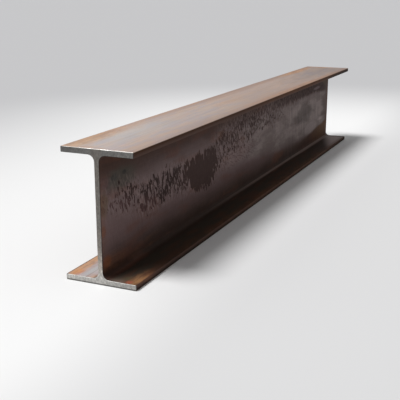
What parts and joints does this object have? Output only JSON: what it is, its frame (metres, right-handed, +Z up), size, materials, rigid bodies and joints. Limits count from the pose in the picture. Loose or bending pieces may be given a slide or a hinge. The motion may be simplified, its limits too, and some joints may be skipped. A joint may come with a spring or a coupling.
{
  "type": "steel h-beam",
  "caption": "Short cut length of hot-rolled steel H-beam with parallel flanges, root radii and square sawn ends, used as a beam or column section.",
  "frame": {"origin": "centre of the underside of the bottom flange, halfway along the beam", "axes": "+X along the beam, +Y across the flanges, +Z up through the web"},
  "size_m": [1.1, 0.105, 0.18],
  "materials": {
    "weathered_steel": "hot-rolled mill scale with thin brown rust, bare sawn ends"
  },
  "bodies": {
    "root": {"h_beam": "weathered_steel"}
  },
  "joints": []
}
